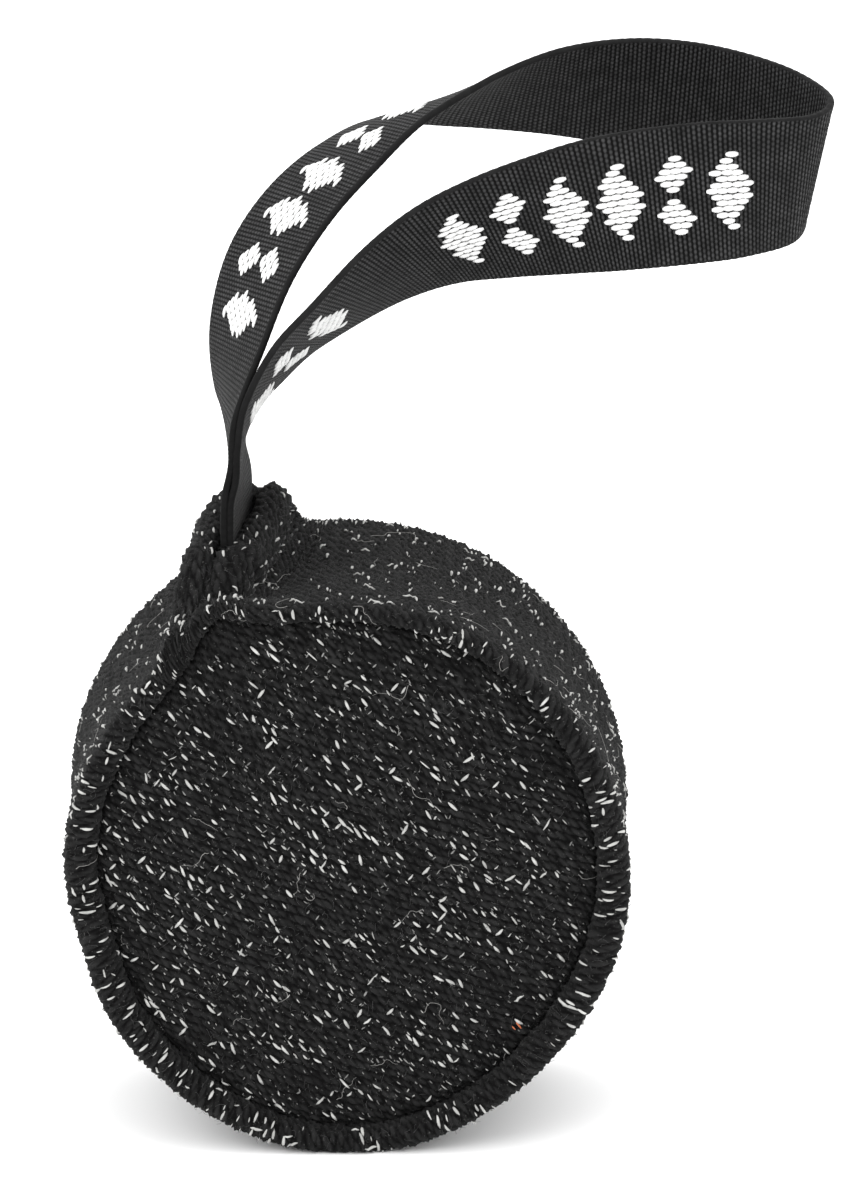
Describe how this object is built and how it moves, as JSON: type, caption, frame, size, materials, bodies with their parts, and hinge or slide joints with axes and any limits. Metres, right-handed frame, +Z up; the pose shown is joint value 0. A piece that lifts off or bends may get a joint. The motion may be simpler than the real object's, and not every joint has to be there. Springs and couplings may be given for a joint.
{
  "type": "training bumper",
  "caption": "Round sewn dog training bumper: a stuffed tweed drum with domed faces, rolled rims and a twisted woven webbing hand loop.",
  "frame": {"origin": "middle of the small flat on the rim that the drum stands on", "axes": "+Z up through the drum to the handle, Y along the drum's axis with the front face towards -Y, +X to the right, the side that the loop leans to"},
  "size_m": [0.1646, 0.082, 0.2303],
  "materials": {
    "cover_tweed": "coarse fuzzy woven tweed, near black with short white flecks",
    "core_foam": "open-cell foam",
    "wadding": "loose fibre wadding",
    "thread": "twisted sewing thread",
    "webbing": "ribbed synthetic webbing with a white woven geometric motif"
  },
  "bodies": {
    "bumper": {"side_band": "cover_tweed", "band_ends": "cover_tweed", "front_panel": "cover_tweed", "rear_panel": "cover_tweed", "foam_core": "core_foam", "wadding_wrap": "wadding", "front_pad": "wadding", "rear_pad": "wadding", "front_seam_thread": "thread", "rear_seam_thread": "thread", "end_seam_thread": "thread", "handle_tacks": "thread", "webbing_ends": "webbing"},
    "handle": {"webbing_loop": "webbing"}
  },
  "joints": [
    {"name": "handle_fold", "type": "hinge", "parent": "bumper", "child": "handle", "pos_m": [-0.0238, 0, 0.1373], "axis": [0.2419, 0.9703, 0], "range_deg": [-100, 45]}
  ]
}
